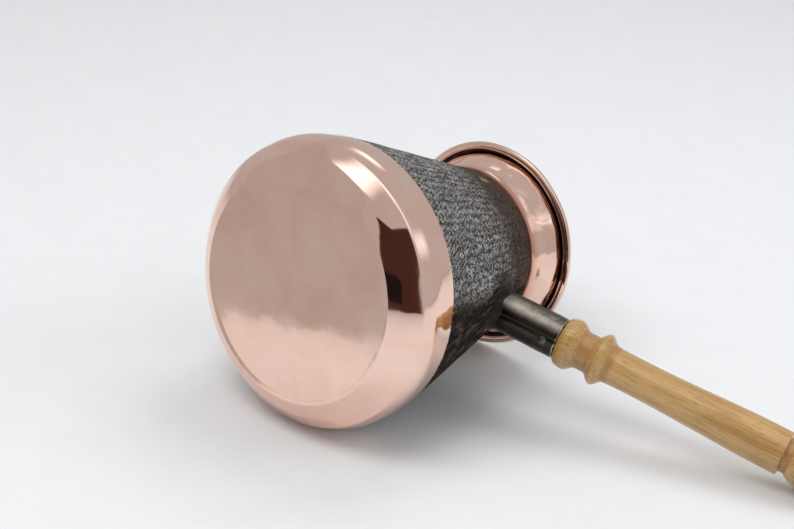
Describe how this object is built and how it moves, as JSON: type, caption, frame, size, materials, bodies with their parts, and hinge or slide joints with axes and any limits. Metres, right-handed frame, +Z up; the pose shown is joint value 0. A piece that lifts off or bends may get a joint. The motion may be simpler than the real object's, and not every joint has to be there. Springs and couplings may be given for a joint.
{
  "type": "turkish coffee pot",
  "caption": "Small copper coffee pot with a domed chamfered foot, tapering punched wall, narrow neck, flared rolled lip and a turned wooden side handle in a steel socket.",
  "frame": {"origin": "centre of the flat base, on the plane that the pot stands on", "axes": "+Z up along the pot's axis, +X towards the handle"},
  "size_m": [0.2432, 0.1134, 0.1275],
  "materials": {
    "polished_copper": "polished, punched band oxidised dark",
    "tin_lining": "wiped tin, satin",
    "blackened_steel": "heat-blackened, half gloss",
    "dark_braze": "heat-blackened, satin",
    "varnished_wood": "varnished",
    "nail_steel": "dull"
  },
  "bodies": {
    "root": {"pot_body": "polished_copper", "tin_lining": "tin_lining", "handle_socket": "blackened_steel", "socket_braze": "dark_braze", "wooden_handle": "varnished_wood", "handle_nail": "nail_steel"}
  },
  "joints": []
}
